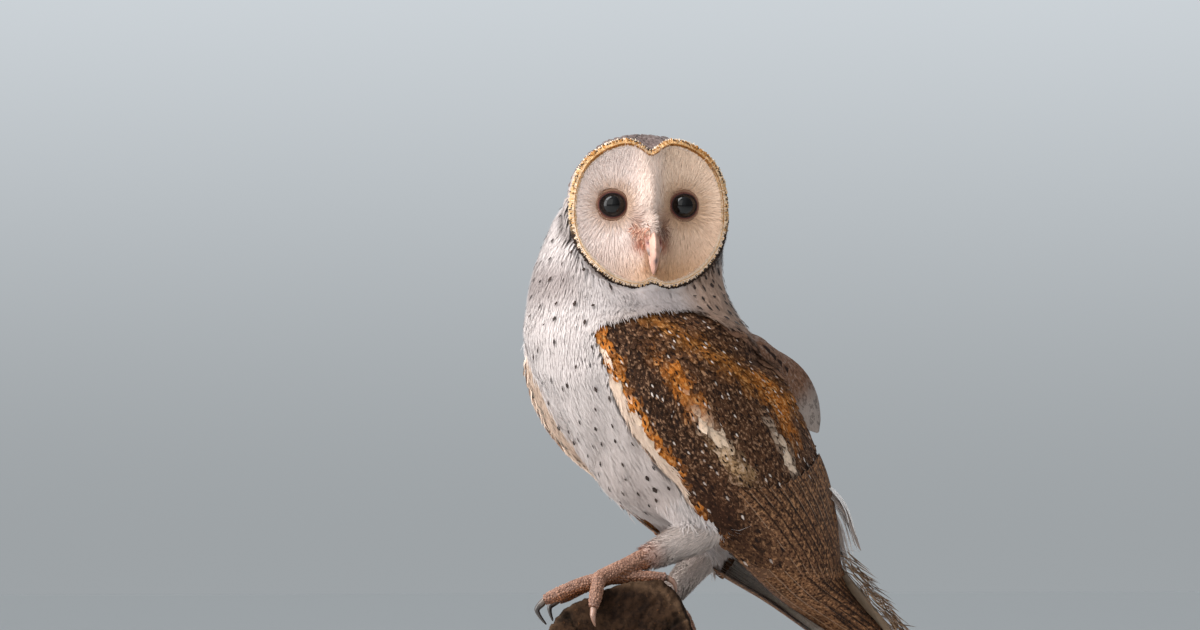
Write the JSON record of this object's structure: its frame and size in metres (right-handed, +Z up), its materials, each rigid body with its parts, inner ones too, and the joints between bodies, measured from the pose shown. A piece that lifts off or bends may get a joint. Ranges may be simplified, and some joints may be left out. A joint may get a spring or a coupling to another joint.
{
  "type": "barn owl",
  "caption": "Still, life-size barn owl with its head turned aside, gripping a cut length of limb on a round display stand.",
  "frame": {"origin": "middle of the stand's underside, on the surface that it stands on", "axes": "+Z up, -Y the way the owl's trunk faces, +X the owl's left, to which its head is turned"},
  "size_m": [0.184, 0.2739, 0.398],
  "materials": {
    "plumage_white": "soft white feathers with small dark spots",
    "plumage_brown": "brown and golden feathers, finely mottled",
    "facial_disc": "stiff cream feathers in a heart-shaped disc",
    "eye": "wet, glossy black",
    "bill": "pale pink horn, satin",
    "foot_skin": "scaly pink-brown skin",
    "claw": "dark horn, satin",
    "bark": "rough, weathered dark wood",
    "stand_wood": "dark stained wood, satin",
    "stand_steel": "brushed"
  },
  "bodies": {
    "root": {"bill_lower": "bill", "bill_upper": "bill", "claw_left_hallux": "claw", "claw_left_inner": "claw", "claw_left_middle": "claw", "claw_left_outer": "claw", "claw_right_hallux": "claw", "claw_right_inner": "claw", "claw_right_middle": "claw", "claw_right_outer": "claw", "eye_left": "eye", "eye_right": "eye", "facial_disc": "facial_disc", "head": "plumage_white", "neck": "plumage_white", "perch_limb": "bark", "stand_base": "stand_wood", "stand_rod": "stand_steel", "tail": "plumage_brown", "tarsus_left": "foot_skin", "tarsus_right": "foot_skin", "thigh_left": "plumage_white", "thigh_right": "plumage_white", "toe_left_hallux": "foot_skin", "toe_left_inner": "foot_skin", "toe_left_middle": "foot_skin", "toe_left_outer": "foot_skin", "toe_right_hallux": "foot_skin", "toe_right_inner": "foot_skin", "toe_right_middle": "foot_skin", "toe_right_outer": "foot_skin", "trunk": "plumage_white", "wing_left": "plumage_brown", "wing_right": "plumage_brown"}
  },
  "joints": []
}
